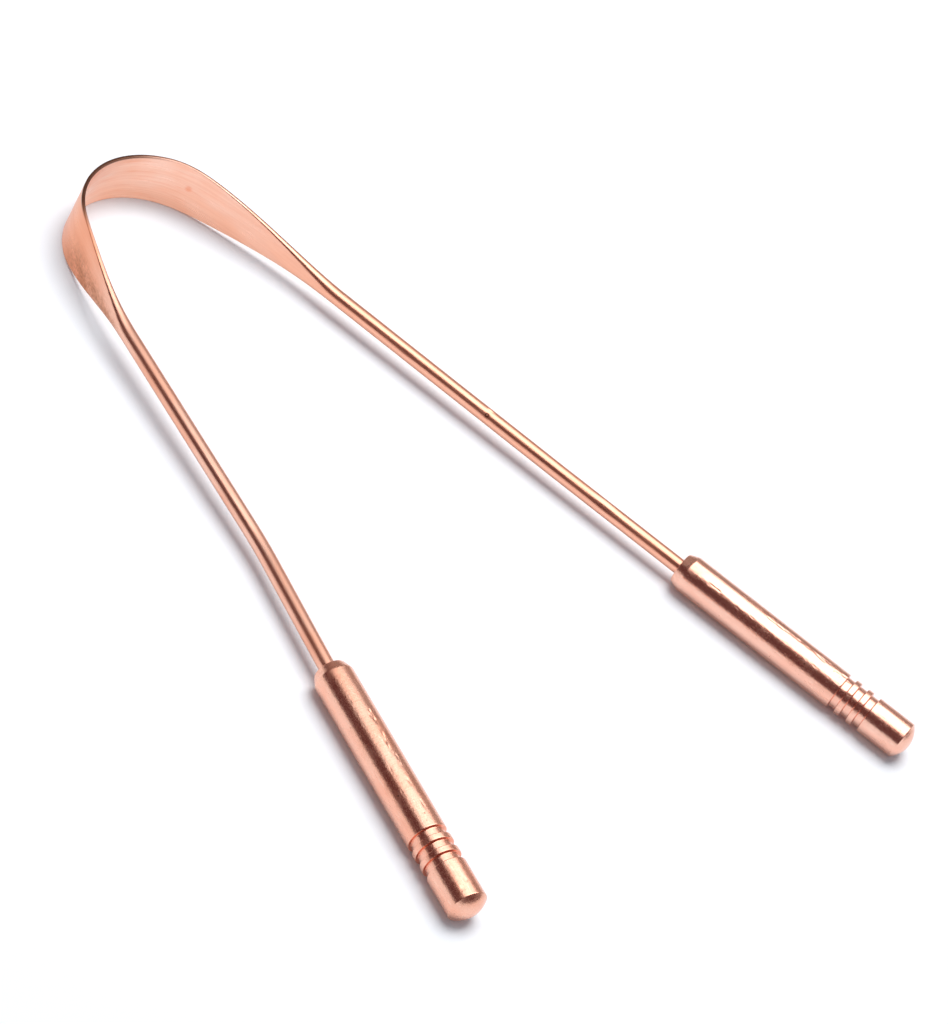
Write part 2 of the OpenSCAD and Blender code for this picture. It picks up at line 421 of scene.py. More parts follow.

# %% [markdown]
# ## Skinning the line
#
# A ring of points is set across the line at each station, and the rings are joined with
# quads. Bright metal shows every slip in the surface's direction, so the normals aren't
# left to the mesh: they are worked out from the same rule as the points. The wire is made
# as two halves that meet in the middle of the crown. With exact normals the joint can't be
# seen.

# %% A mesh from points, faces and exact normals
def make_mesh(name, points, faces, corner_normals, lay, rolled=None):
    """Mesh object in metres. lay is each point's place in mm if the piece were straight:
    along its own line, and the two coordinates of its section. rolled says how flat the wire
    is there, how far up the strip and on which face. The finishes follow both."""
    mesh = bpy.data.meshes.new(name)
    mesh.from_pydata([p * MM for p in points], [], faces)
    mesh.update()
    for layer_name, values in (("lay", lay), ("rolled", rolled)):
        if values:
            layer = mesh.attributes.new(name=layer_name, type="FLOAT_VECTOR", domain="POINT")
            layer.data.foreach_set("vector", [c for value in values for c in value])
    mesh.polygons.foreach_set("use_smooth", [True] * len(mesh.polygons))
    mesh.normals_split_custom_set(corner_normals)
    made = bpy.data.objects.new(name, mesh)
    bpy.context.collection.objects.link(made)
    print(name, len(points), "points,", len(faces), "faces")
    return made


# %% Rings of the wire
SLOPE_REACH = 0.1
TURN_REACH = 0.01


def wire_rings(stations):
    """Points, outward normals, lay and rolled values of a ring at each station."""
    points, normals, lay, rolled = [], [], [], []
    for s in stations:
        width = width_at(s)
        thickness = thickness_at(width)
        for angle in RING_ANGLES:
            along = wire_surface(s + SLOPE_REACH, angle) - wire_surface(s - SLOPE_REACH, angle)
            around = wire_surface(s, angle + TURN_REACH) - wire_surface(s, angle - TURN_REACH)
            points.append(wire_surface(s, angle))
            normals.append(along.cross(around).normalized())
            u, v = section_point(angle, width)
            lay.append((s, u, v))
            rolled.append((flat_share(width), 2.0 * u / width, 2.0 * v / thickness))
    return points, normals, lay, rolled


def wire_half(name, stations):
    """One half of the wire over a rising list of stations, closed at both ends."""
    points, normals, lay, rolled = wire_rings(stations)
    count = len(RING_ANGLES)
    faces, corner_normals = [], []
    for r in range(len(stations) - 1):
        for i in range(count):
            j = (i + 1) % count
            face = (r * count + i, (r + 1) * count + i, (r + 1) * count + j, r * count + j)
            faces.append(face)
            corner_normals += [normals[k] for k in face]
    last_ring = (len(stations) - 1) * count
    faces += [tuple(range(count)), tuple(last_ring + i for i in reversed(range(count)))]
    corner_normals += [-wire_heading(stations[0])] * count + [wire_heading(stations[-1])] * count
    return make_mesh(name, points, faces, corner_normals, lay, rolled)


# %% [markdown]
# ## Where the rings stand
#
# A straight arm needs few rings and a curve needs more: they are 0.8 mm apart on the arms,
# 0.5 on the bow, 0.3 round the crown, and 0.12 over the deep nick, which is about 1 mm long.

# %% Stations and the two halves of the wire
ARM_STEP, BOW_STEP, CROWN_STEP, NICK_STEP = 0.8, 0.5, 0.3, 0.12
CROWN_FROM, CROWN_TO = 22.0, 58.0
NICK_FROM, NICK_TO = -28.4, -25.4
WIRE_END = BOW_LENGTH + LEFT_REACH


def spaced(stops):
    """Stations from each (place, step) on to the next place. The last place closes the list."""
    stations = []
    for (start, step), (end, _) in zip(stops, stops[1:]):
        count = max(1, round(abs(end - start) / step))
        stations += [start + (end - start) * i / count for i in range(count)]
    return stations + [stops[-1][0]]


right_wire = wire_half("right_wire", spaced([
    (-RIGHT_REACH, ARM_STEP), (NICK_FROM, NICK_STEP), (NICK_TO, ARM_STEP), (0.0, BOW_STEP),
    (CROWN_FROM, CROWN_STEP), (CROWN_DISTANCE, None)]))
left_wire = wire_half("left_wire", spaced([
    (CROWN_DISTANCE, CROWN_STEP), (CROWN_TO, BOW_STEP), (BOW_LENGTH, ARM_STEP),
    (WIRE_END, None)]))

# %% [markdown]
# ## The turned handles
#
# A handle is turned from copper rod on a lathe, so its mesh is turned too: a profile is
# drawn once and swept round the axis. No real edge is perfectly sharp, so each corner of
# the profile is replaced with a small arc. Those arcs catch the light as thin lines, which
# is what makes an edge look cut from metal.

# %% Soften the corners of a profile
CORNER_STEPS = 6
PROFILE_STEP = 0.5
SAME_PLACE = 1e-6


def corner_samples(start, corner, end):
    """(point, normal) along the small arc that rounds one corner."""
    samples = []
    for k in range(CORNER_STEPS + 1):
        t = k / CORNER_STEPS
        point = (1 - t) ** 2 * start + 2 * t * (1 - t) * corner + t * t * end
        slope = (1 - t) * (corner - start) + t * (end - corner)
        samples.append((point, Vector((-slope.y, slope.x)).normalized()))
    return samples


def straight_samples(start, end):
    """(point, normal) along the straight run between two corners."""
    run = end - start
    if run.length <= SAME_PLACE:
        return []
    normal = Vector((-run.y, run.x)).normalized()
    pieces = max(1, math.ceil(run.length / PROFILE_STEP))
    return [(start + run * k / pieces, normal) for k in range(pieces + 1)]


def soften(corners):
    """(point, normal) samples of a whole profile, from its corners (z, r, softness)."""
    arcs = []
    for i, (z, r, soft) in enumerate(corners):
        here = Vector((z, r))
        start = end = here
        if soft > 0.0:
            start = here - soft * (here - Vector(corners[i - 1][:2])).normalized()
            end = here + soft * (Vector(corners[i + 1][:2]) - here).normalized()
        arcs.append((start, here, end, soft))
    samples = []
    for (start, here, end, soft), following in zip(arcs, arcs[1:] + [None]):
        if soft > 0.0:
            samples += corner_samples(start, here, end)
        if following:
            samples += straight_samples(end, following[0])
    return samples


# %% [markdown]
# The profile starts at the bottom of the bore and runs out over the handle to the tail: a
# bevelled head, a plain barrel, three grooves that stop wet fingers from slipping, a short
# plain band, and a tail that is bevelled and then domed. The dome is part of a sphere.

# %% The handle's profile
HANDLE_RADIUS = 2.8
BORE_DEPTH, BORE_RADIUS = 12.0, WIRE_DIAMETER / 2 + 0.02
BORE_SOFTNESS, MOUTH_SOFTNESS = 0.05, 0.1
HEAD_BEVEL_LENGTH, HEAD_BEVEL_DROP = 1.4, 0.55
GROOVES, GROOVE_START, GROOVE_PITCH, GROOVE_WIDTH, GROOVE_DEPTH = 3, 28.0, 2.05, 1.2, 0.4
GROOVE_WALL_SLOPE = 0.08
TAIL_BEVEL_START, TAIL_FACE_START = 39.1, 39.35
TAIL_FACE_RADIUS = HANDLE_RADIUS - 0.3
TAIL_SOFTNESS, DOME_SOFTNESS = 0.16, 0.1
DOME_RADIUS = 3.74
DOME_STEPS = 10


def dome_height(r):
    """Height of the dome above its rim at a distance r from the axis."""
    return (math.sqrt(DOME_RADIUS ** 2 - r * r)
            - math.sqrt(DOME_RADIUS ** 2 - TAIL_FACE_RADIUS ** 2))


def handle_corners(edge, groove_edge):
    """Corners (distance from the head, radius, softness) of the profile, in mm."""
    corners = [(BORE_DEPTH, 0.0, 0.0), (BORE_DEPTH, BORE_RADIUS, BORE_SOFTNESS),
               (0.0, BORE_RADIUS, MOUTH_SOFTNESS),
               (0.0, HANDLE_RADIUS - HEAD_BEVEL_DROP, edge),
               (HEAD_BEVEL_LENGTH, HANDLE_RADIUS, edge)]
    floor_radius = HANDLE_RADIUS - GROOVE_DEPTH
    for i in range(GROOVES):
        near = GROOVE_START + i * GROOVE_PITCH
        far = near + GROOVE_WIDTH
        corners += [(near, HANDLE_RADIUS, groove_edge),
                    (near + GROOVE_WALL_SLOPE, floor_radius, groove_edge),
                    (far - GROOVE_WALL_SLOPE, floor_radius, groove_edge),
                    (far, HANDLE_RADIUS, groove_edge)]
    corners += [(TAIL_BEVEL_START, HANDLE_RADIUS, groove_edge),
                (TAIL_FACE_START, TAIL_FACE_RADIUS, TAIL_SOFTNESS)]
    for i in range(1, DOME_STEPS):
        r = TAIL_FACE_RADIUS * (1 - i / DOME_STEPS)
        corners.append((TAIL_FACE_START + dome_height(r), r, DOME_SOFTNESS))
    return corners + [(TAIL_FACE_START + dome_height(0.0), 0.0, 0.0)]


print("handle length", round(handle_corners(0.0, 0.0)[-1][0], 2), "mm")

# %% [markdown]
# ## Knocks from years of use
#
# Loose in a drawer, the handles knock against other metal. Each knock leaves a hollow, a
# fraction of a millimetre long, and they lie in rows along the uppermost ridges. Seeded
# chance places them, so each run gives the same handles. They are cut into the mesh, where
# they break the edge of the highlight.

# %% Rows of knocks
KNOCK_LENGTH = (0.12, 0.5)
KNOCK_SPREAD_DEG = (1.2, 3.0)
KNOCK_DEPTH_SHARE = (0.4, 1.0)
# (seed, how many, from and to in mm from the head, degrees from straight up toward the
# camera, wander in degrees, greatest depth in mm)
RIGHT_ROWS = [(3, 30, 14.0, 28.0, 3.0, 4.0, 0.050), (5, 9, 2.0, 7.0, 39.0, 4.0, 0.028),
              (8, 14, 8.0, 39.0, 38.0, 5.0, 0.016), (11, 10, 1.5, 39.0, 70.0, 50.0, 0.012)]
LEFT_ROWS = [(4, 30, 9.0, 26.0, 1.0, 5.0, 0.040), (6, 14, 2.0, 27.0, 34.0, 6.0, 0.016),
             (9, 5, 36.5, 39.0, 15.0, 18.0, 0.03), (12, 12, 1.5, 39.0, 60.0, 50.0, 0.010)]
# One broader dent low on the right handle, as (place, angle, length, spread, depth)
RIGHT_DENT = (11.5, 84, 2.2, 9, 0.035)


def knocks_in(rows):
    """Every knock of the rows, as (place, angle, length, spread, depth)."""
    knocks = []
    for seed, count, start, end, turn, wander, depth in rows:
        chance = random.Random(seed)
        for i in range(count):
            knocks.append((chance.uniform(start, end), turn + chance.uniform(-wander, wander),
                           chance.uniform(*KNOCK_LENGTH), chance.uniform(*KNOCK_SPREAD_DEG),
                           depth * chance.uniform(*KNOCK_DEPTH_SHARE)))
    return knocks


def knocked(knocks):
    """The function that says how deep the skin lies at a place and angle."""
    def dent(z, angle):
        low = 0.0
        for place, turn, length, spread, depth in knocks:
            if abs(z - place) < FADED_OUT * length:
                off = (math.degrees(angle) - turn + 180.0) % 360.0 - 180.0
                low += depth * math.exp(-((z - place) / length) ** 2 - (off / spread) ** 2)
        return low
    return dent


right_knocks = knocks_in(RIGHT_ROWS) + [RIGHT_DENT]
left_knocks = knocks_in(LEFT_ROWS)
print(len(right_knocks), "knocks on the right handle,", len(left_knocks), "on the left")

# %% Sweep the profile round each handle's axis
SEGMENTS = 144
DENT_REACH, DENT_TURN = 0.05, 0.02


def turned_rows(head, axis, samples, dent):
    """A row of points round the axis for each sample, with the points' normals and lay."""
    side = axis.cross(UPRIGHT)
    points, rows, normals, lay = [], [], [], []
    for point, normal in samples:
        z, r = point
        if r < SAME_PLACE:
            rows.append([len(points)] * SEGMENTS)
            points.append(head + z * axis)
            normals.append(normal.x * axis)
            lay.append((z, 0.0, 0.0))
            continue
        rows.append(list(range(len(points), len(points) + SEGMENTS)))
        for k in range(SEGMENTS):
            angle = 2 * math.pi * k / SEGMENTS
            sine, cosine = math.sin(angle), math.cos(angle)
            spoke, rim = cosine * UPRIGHT + sine * side, cosine * side - sine * UPRIGHT
            rise_z = dent(z + DENT_REACH, angle) - dent(z - DENT_REACH, angle)
            rise_a = dent(z, angle + DENT_TURN) - dent(z, angle - DENT_TURN)
            points.append(head + z * axis + (r - dent(z, angle)) * spoke)
            normals.append((normal.y * spoke + (normal.x + rise_z / (2 * DENT_REACH)) * axis
                            + rise_a / (2 * DENT_TURN * r) * rim).normalized())
            lay.append((z, r * cosine, r * sine))
    return points, rows, normals, lay


def turned_handle(name, head, axis, samples, dent):
    """Lathe mesh of the samples, worn by dent."""
    points, rows, normals, lay = turned_rows(head, axis, samples, dent)
    faces, corner_normals = [], []
    for n, (near, far) in enumerate(zip(rows, rows[1:])):
        if (samples[n + 1][0] - samples[n][0]).length < SAME_PLACE:
            continue
        for k in range(SEGMENTS):
            m = (k + 1) % SEGMENTS
            face = tuple(dict.fromkeys((near[k], near[m], far[m], far[k])))
            faces.append(face)
            corner_normals += [normals[corner] for corner in face]
    return make_mesh(name, points, faces, corner_normals, lay)


RIGHT_SOFTNESS, LEFT_SOFTNESS = (0.14, 0.07), (0.18, 0.1)
right_handle = turned_handle("right_turned_handle", right_head, RIGHT_AXIS,
                             soften(handle_corners(*RIGHT_SOFTNESS)), knocked(right_knocks))
left_handle = turned_handle("left_turned_handle", left_head, LEFT_AXIS,
                            soften(handle_corners(*LEFT_SOFTNESS)), knocked(left_knocks))

# %% [markdown]
# ## Copper
#
# Bare copper is a metal, so its colour is the colour of what it reflects, tinted. Its own
# tint is a warm pink orange. It is polished, then handled, so reflections are a little
# blurred, and fine marks break them up. Tints are written as a paint program shows them,
# and one function turns them to linear light.

# %% Colours and a helper for nodes
def hex_colour(text):
    """Linear RGBA from an sRGB hex string."""
    channels = [int(text[i:i + 2], 16) / 255 for i in (1, 3, 5)]
    linear = [c / 12.92 if c <= 0.04045 else ((c + 0.055) / 1.055) ** 2.4 for c in channels]
    return (*linear, 1.0)


def add_node(tree, kind, links=None, **settings):
    """Add a node. Settings name its properties or inputs, and links feed its inputs."""
    node = tree.nodes.new(kind)
    inputs = {}
    for key, value in settings.items():
        if key.startswith("in_"):
            inputs[key[3:]] = value
        else:
            setattr(node, key, value)
    for key, value in inputs.items():
        socket = node.inputs[int(key)] if key.isdigit() else node.inputs[key.replace("_", " ")]
        socket.default_value = value
    for key, source in (links or {}).items():
        tree.links.new(source, node.inputs[key])
    return node


def new_material(name):
    """An empty material and its node tree."""
    material = bpy.data.materials.new(name)
    material.use_nodes = True
    material.node_tree.nodes.clear()
    return material, material.node_tree


# %% [markdown]
# ## Marks that follow the work
#
# Drawing and rolling leave streaks along the wire, and turning leaves rings round the
# handle. So each pattern reads the place stored on the mesh as lay, in millimetres, and is
# given its own spacing in each direction. One pixel of the picture is about 0.14 mm. Real
# die lines and tool marks are near 0.05 mm, too fine to show, so they are drawn three to
# five times as coarse as they are.

# %% Patterns shared by the finishes
def marks(tree, spacing, low, high, detail=3.0):
    """Random marks from 0 to 1, with a spacing in mm along the piece and across it twice.
    They start where the noise passes low and are full at high."""
    lay = add_node(tree, "ShaderNodeAttribute", attribute_name="lay")
    place = add_node(tree, "ShaderNodeVectorMath", {0: lay.outputs["Vector"]},
                     operation="DIVIDE", in_1=spacing)
    noise = add_node(tree, "ShaderNodeTexNoise", {"Vector": place.outputs[0]},
                     in_Scale=1.0, in_Detail=detail)
    return add_node(tree, "ShaderNodeMapRange", {"Value": noise.outputs[0]},
                    in_1=low, in_2=high).outputs[0]


def all_of(tree, *masks):
    """Where every mask is on: their product."""
    product = masks[0]
    for mask in masks[1:]:
        product = add_node(tree, "ShaderNodeMath", {0: product, 1: mask},
                           operation="MULTIPLY").outputs[0]
    return product


def stretch_of(tree, value, *ends):
    """1 where value is past full, easing to 0 at start. ends holds (start, full), and a
    stretch with a far side goes on with (far_full, end)."""
    sides = [ends[:2], ends[:1:-1]] if len(ends) == 4 else [ends]
    return all_of(tree, *(add_node(tree, "ShaderNodeMapRange", {"Value": value},
                                   interpolation_type="SMOOTHSTEP",
                                   in_1=start, in_2=full).outputs[0] for start, full in sides))


def layered(tree, base, layers):
    """A colour with others laid over it. layers holds (mask, strength, sRGB hex)."""
    colour = base
    for mask, strength, over in layers:
        share = add_node(tree, "ShaderNodeMath", {0: mask}, operation="MULTIPLY", in_1=strength)
        colour = add_node(tree, "ShaderNodeMix", {"Factor": share.outputs[0], 6: colour},
                          data_type="RGBA", in_7=hex_colour(over)).outputs[2]
    return colour


def worked_copper(tree, colour, roughness, height, depth_mm):
    """The metal itself: colour, roughness and a bump of so many mm from height 0 to 1."""
    bump = add_node(tree, "ShaderNodeBump", {"Height": height},
                    in_Strength=1.0, in_Distance=depth_mm * MM)
    shader = add_node(tree, "ShaderNodeBsdfPrincipled",
                      {"Base Color": colour, "Roughness": roughness, "Normal": bump.outputs[0]},
                      in_Metallic=1.0)
    add_node(tree, "ShaderNodeOutputMaterial", {"Surface": shader.outputs["BSDF"]})


# %% [markdown]
# ## Drawn and rolled copper
#
# The wire was drawn through a die, rolled flat for the blade, and buffed by hand. The eye
# gets soft reflections that run along the wire. The inner face is the paler one, and both
# are more orange toward the lower edge. Masks worked out from the place on the wire say
# where, and stay sharp from any distance.

# %% Sizes and tints of the wire's finish
# Each pattern is (spacing in mm along, up and through the strip, low, high, detail)
CLOUDS = ((7.0, 2.2, 3.0), 0.38, 0.68)
STREAKS = ((5.0, 0.5, 1.5), 0.53, 0.72)
BLOTCHES = ((3.2, 1.3, 2.0), 0.32, 0.56)
FLECKS = ((0.55, 0.35, 0.35), 0.42, 0.62, 4.0)
DIE_LINES = ((14.0, 0.16, 0.16), 0.35, 0.65, 2.0)
# Stretches in mm from the right neck, as (start, full, far_full, end)
RIGHT_FLANK = (3.0, 8.0, 28.0, 36.0)
STREAK_ZONE = (18.0, 28.0, 42.0, 50.0)
TIGHT_BEND = (29.0, 38.0, 52.0, 57.0)
PATINA_ZONE = (52.0, 61.0, 69.0, 77.0)
INNER_FACE, INNER_FACE_WARM = "#FFD1BE", "#FFBA9A"
OUTER_FACE, OUTER_FACE_WARM = "#F6AA86", "#F09A74"
FACE_EDGE = 0.4
WIRE_ROUGHNESS, WIRE_SMOOTHER, WIRE_ROUGHER = 0.31, 0.05, 0.07
CLOUDS_IN_ROUGHNESS, BLOTCHES_IN_HEIGHT = 0.7, 0.8
WIRE_GRAIN_MM = 0.0025
print("finest mark on the wire:", min(DIE_LINES[0]), "mm")


def wire_places(tree):
    """Its lay in mm, the distance along it, how flat it is, and how far up the strip and
    through it, from -1 at the foot and inner face to 1 at the top and outer face."""
    lay = add_node(tree, "ShaderNodeAttribute", attribute_name="lay").outputs["Vector"]
    rolled = add_node(tree, "ShaderNodeAttribute", attribute_name="rolled").outputs["Vector"]
    along = add_node(tree, "ShaderNodeSeparateXYZ", {0: lay}).outputs[0]
    flat, height, face = add_node(tree, "ShaderNodeSeparateXYZ", {0: rolled}).outputs
    return {"lay": lay, "along": along, "flat": flat, "height": height, "face": face}


# %% [markdown]
# Past the crown, damp has left a brown patina low on the outer face, with dark flecks in it.
# The right half has a warm spot on its inner face, and round its deep nick a ring of painted
# shade. Each is laid over the metal as a thin layer, just where it sits on the real wire.

# %% Marks that only one half has
SPOT_PLACE, SPOT_RIM, SPOT_FULL = (26.9, 0.4, -0.26), 0.75, 0.15
NICK_SKIN_DEPTH = -0.85
# Where the ring of painted shade round the deep nick starts, is full and ends, in mm
NICK_SHADE_RING = (0.10, 0.20, 0.26, 0.38)


def patina(tree, wire):
    """Layers of brown bloom and dark flecks, low on the outer face."""
    low = stretch_of(tree, wire["height"], 0.55, -0.6)
    outer = add_node(tree, "ShaderNodeMapRange", {"Value": wire["face"]},
                     in_1=0.2, in_2=0.6).outputs[0]
    bloom = all_of(tree, low, stretch_of(tree, wire["along"], *PATINA_ZONE), outer)
    return [(all_of(tree, bloom, marks(tree, *BLOTCHES)), 0.6, "#B8744E"),
            (all_of(tree, bloom, marks(tree, *FLECKS)), 0.38, "#7A462F")]


def spot_and_nick_shade(tree, wire):
    """Layers of the warm spot and of a ring of painted shade round the deep nick."""
    from_spot = add_node(tree, "ShaderNodeVectorMath", {0: wire["lay"]},
                         operation="DISTANCE", in_1=SPOT_PLACE)
    spot = stretch_of(tree, from_spot.outputs["Value"], SPOT_RIM, SPOT_FULL)
    from_nick = add_node(tree, "ShaderNodeVectorMath", {0: wire["lay"]},
                         operation="DISTANCE", in_1=(*DEEP_NICK[:2], NICK_SKIN_DEPTH))
    # A ring of painted shade round the deep nick
    rim = stretch_of(tree, from_nick.outputs["Value"], *NICK_SHADE_RING)
    return [(spot, 0.5, "#EE8C66"), (rim, 0.8, "#6E4130")]


# %% The wire's metal
def drawn_copper(name, arm_tint, own_marks):
    """Copper wire, drawn, rolled and buffed. own_marks adds the layers of one half."""
    material, tree = new_material(name)
    wire = wire_places(tree)
    outside = add_node(tree, "ShaderNodeMapRange", {"Value": wire["face"]},
                       in_1=-FACE_EDGE, in_2=FACE_EDGE).outputs[0]
    inside = stretch_of(tree, wire["face"], FACE_EDGE, -FACE_EDGE)
    faces = add_node(tree, "ShaderNodeMix", {"Factor": outside}, data_type="RGBA",
                     in_6=hex_colour(INNER_FACE), in_7=hex_colour(OUTER_FACE)).outputs[2]
    base = add_node(tree, "ShaderNodeMix", {"Factor": wire["flat"], 7: faces},
                    data_type="RGBA", in_6=hex_colour(arm_tint)).outputs[2]
    clouds, die_lines = marks(tree, *CLOUDS), marks(tree, *DIE_LINES)
    low_edge = stretch_of(tree, wire["height"], 0.25, -0.95)
    on_blade = stretch_of(tree, wire["flat"], 0.25, 0.75)
    warm_places = [(clouds, 0.5), (all_of(tree, low_edge, on_blade), 0.6)]
    layers = [(all_of(tree, place, side), strength, warm_tint)
              for side, warm_tint in ((inside, INNER_FACE_WARM), (outside, OUTER_FACE_WARM))
              for place, strength in warm_places]
    # A thin brown line of painted dark reflection runs along the filed land of the top edge
    painted_reflection_land = add_node(tree, "ShaderNodeMapRange", {"Value": wire["height"]},
                    in_1=0.915, in_2=0.955).outputs[0]
    painted_reflection_outer_land = add_node(tree, "ShaderNodeMapRange", {"Value": wire["face"]},
                          in_1=0.15, in_2=0.45).outputs[0]
    streak_zone, tight_bend, flank = (stretch_of(tree, wire["along"], *stretch)
                                      for stretch in (STREAK_ZONE, TIGHT_BEND, RIGHT_FLANK))
    layers += [(all_of(tree, marks(tree, *STREAKS), on_blade, streak_zone), 0.28, "#F59C74"),
               (die_lines, 0.22, "#E39A7C"),
               (all_of(tree, painted_reflection_land, tight_bend), 0.9, "#65402F"),
               (all_of(tree, painted_reflection_land, painted_reflection_outer_land, flank), 0.75, "#7A4C3A")]
    colour = layered(tree, base, layers + own_marks(tree, wire))
    rough = add_node(tree, "ShaderNodeMath", {0: clouds, 2: die_lines},
                     operation="MULTIPLY_ADD", in_1=CLOUDS_IN_ROUGHNESS)
    rough = add_node(tree, "ShaderNodeMapRange", {"Value": rough.outputs[0]},
                     in_1=0.0, in_2=1.0 + CLOUDS_IN_ROUGHNESS,
                     in_3=WIRE_ROUGHNESS - WIRE_SMOOTHER, in_4=WIRE_ROUGHNESS + WIRE_ROUGHER)
    skin = add_node(tree, "ShaderNodeMath", {0: marks(tree, *BLOTCHES), 2: die_lines},
                    operation="MULTIPLY_ADD", in_1=BLOTCHES_IN_HEIGHT)
    worked_copper(tree, colour, rough.outputs[0], skin.outputs[0], WIRE_GRAIN_MM)
    print(name, "has", len(tree.nodes), "nodes")
    return material


# The two arms are one wire. The left arm is given a paler tint than the right: painted light,
# which makes up for the shaded table that its lower side reflects.
right_wire.data.materials.append(drawn_copper("drawn_copper_right", "#F8BA9F", spot_and_nick_shade))
left_wire.data.materials.append(drawn_copper("drawn_copper_left", "#F9C6B0", patina))

# %% [markdown]
# ## Turned copper
#
# The handles are copper rod, turned on a lathe, buffed and then handled for years. The eye
# gets crisp reflections along the barrel, broken by fine rings, a grain of tiny scratches
# and a few pits, and a redder, duller metal in the grooves, where no cloth reaches. Rings
# need only the distance along the handle, so their spacing round it is made very long.

# %% Sizes of the handle's finish
# Patterns again, with spacings along the handle and across it twice
HANDLE_CLOUDS = ((6.0, 2.0, 2.0), 0.40, 0.66)
TURNING_RINGS = ((0.24, 12.0, 12.0), 0.35, 0.65, 2.0)
SCRATCHES = ((0.55, 0.24, 0.24), 0.40, 0.70, 5.0)
SCUFFS = ((2.6, 0.20, 0.20), 0.60, 0.70, 2.0)
WORN_PATCHES = ((3.0, 1.6, 1.6), 0.50, 0.62)
PITS_PER_MM, PIT_RIM, PIT_FLOOR = 0.75, 0.13, 0.05
GROOVES_END = GROOVE_START + (GROOVES - 1) * GROOVE_PITCH + GROOVE_WIDTH
GROOVED_STRETCH = (GROOVE_START - 0.1, GROOVE_START + 0.1, GROOVES_END, GROOVES_END + 0.2)
GROOVE_WALL_RADII = (2.39, 2.45, 2.68, 2.76)
HEAD_BEVEL_STRETCH = (-1.0, -0.5, 1.0, 1.5)
HANDLE_SMOOTHER, HANDLE_ROUGHER = 0.04, 0.12
SCRATCHES_IN_ROUGHNESS, RINGS_IN_HEIGHT, PITS_IN_HEIGHT = 0.6, 0.35, -1.5
print("grooves from", GROOVE_START, "to", round(GROOVES_END, 2), "mm from the head")


# %% The handles' metal
def turned_copper(name, tint, warm_tint, roughness, grain_mm):
    """Copper rod, turned and buffed, with a grain of so many mm."""
    material, tree = new_material(name)
    lay = add_node(tree, "ShaderNodeAttribute", attribute_name="lay").outputs["Vector"]
    along = add_node(tree, "ShaderNodeSeparateXYZ", {0: lay}).outputs[0]
    spoke = add_node(tree, "ShaderNodeVectorMath", {0: lay},
                     operation="MULTIPLY", in_1=(0.0, 1.0, 1.0))
    radius = add_node(tree, "ShaderNodeVectorMath", {0: spoke.outputs[0]},
                      operation="LENGTH").outputs["Value"]
    clouds, scratches = marks(tree, *HANDLE_CLOUDS), marks(tree, *SCRATCHES)
    worn = marks(tree, *WORN_PATCHES)
    cells = add_node(tree, "ShaderNodeTexVoronoi", {"Vector": lay}, in_Scale=PITS_PER_MM)
    pits = add_node(tree, "ShaderNodeMapRange", {"Value": cells.outputs["Distance"]},
                    in_1=PIT_RIM, in_2=PIT_FLOOR).outputs[0]
    worn_pits = all_of(tree, pits, worn)
    grooved = stretch_of(tree, along, *GROOVED_STRETCH)
    wall = stretch_of(tree, radius, *GROOVE_WALL_RADII)
    head_bevel = stretch_of(tree, along, *HEAD_BEVEL_STRETCH)
    warm = add_node(tree, "ShaderNodeMath", {0: clouds}, operation="MULTIPLY", in_1=0.6)
    base = add_node(tree, "ShaderNodeMix", {"Factor": warm.outputs[0]}, data_type="RGBA",
                    in_6=hex_colour(tint), in_7=hex_colour(warm_tint)).outputs[2]
    colour = layered(tree, base, [
        (all_of(tree, scratches, worn), 0.25, "#E39C7F"),
        (marks(tree, *SCUFFS), 0.35, "#FFE0CC"),
        (worn_pits, 0.8, "#6B3A2A"),
        (all_of(tree, grooved, wall), 0.45, "#EC6C46"),
        (all_of(tree, head_bevel, scratches), 0.25, "#B87258")])
    rough = add_node(tree, "ShaderNodeMath", {0: scratches, 2: all_of(tree, clouds, worn)},
                     operation="MULTIPLY_ADD", in_1=SCRATCHES_IN_ROUGHNESS)
    rough = add_node(tree, "ShaderNodeMapRange", {"Value": rough.outputs[0]},
                     in_1=0.0, in_2=1.0 + SCRATCHES_IN_ROUGHNESS,
                     in_3=roughness - HANDLE_SMOOTHER, in_4=roughness + HANDLE_ROUGHER)
    skin = add_node(tree, "ShaderNodeMath", {0: marks(tree, *TURNING_RINGS), 2: scratches},
                    operation="MULTIPLY_ADD", in_1=RINGS_IN_HEIGHT)
    skin = add_node(tree, "ShaderNodeMath", {0: worn_pits, 2: skin.outputs[0]},
                    operation="MULTIPLY_ADD", in_1=PITS_IN_HEIGHT)
    worked_copper(tree, colour, rough.outputs[0], skin.outputs[0], grain_mm)
    print(name, "has", len(tree.nodes), "nodes")
    return material


right_handle.data.materials.append(
    turned_copper("turned_copper_right", "#F8C3AE", "#F5B299", 0.25, 0.0035))
left_handle.data.materials.append(
    turned_copper("turned_copper_left", "#F9BFA7", "#F5AB8E", 0.27, 0.0040))

# %% [markdown]
# ## The table
#
# The table is matt white paint, lit so well that it has no texture. The copper should see a
# clean even white in it, but near the tool it must still see the tool's own shade. So for
# reflections only, the paint gives way to plain white light with distance from the handles.

# %% The white table
def stage_card(name, corners, material):
    """A flat card of the stage, which isn't part of the tool."""
    mesh = bpy.data.meshes.new(name)
    mesh.from_pydata(corners, [], [tuple(range(len(corners)))])
    mesh.materials.append(material)
    card = bpy.data.objects.new(name, mesh)
    bpy.context.collection.objects.link(card)
    return card


def level_corners(x_range, y_range, z):
    (x1, x2), (y1, y2) = x_range, y_range
    return [(x1, y1, z), (x2, y1, z), (x2, y2, z), (x1, y2, z)]


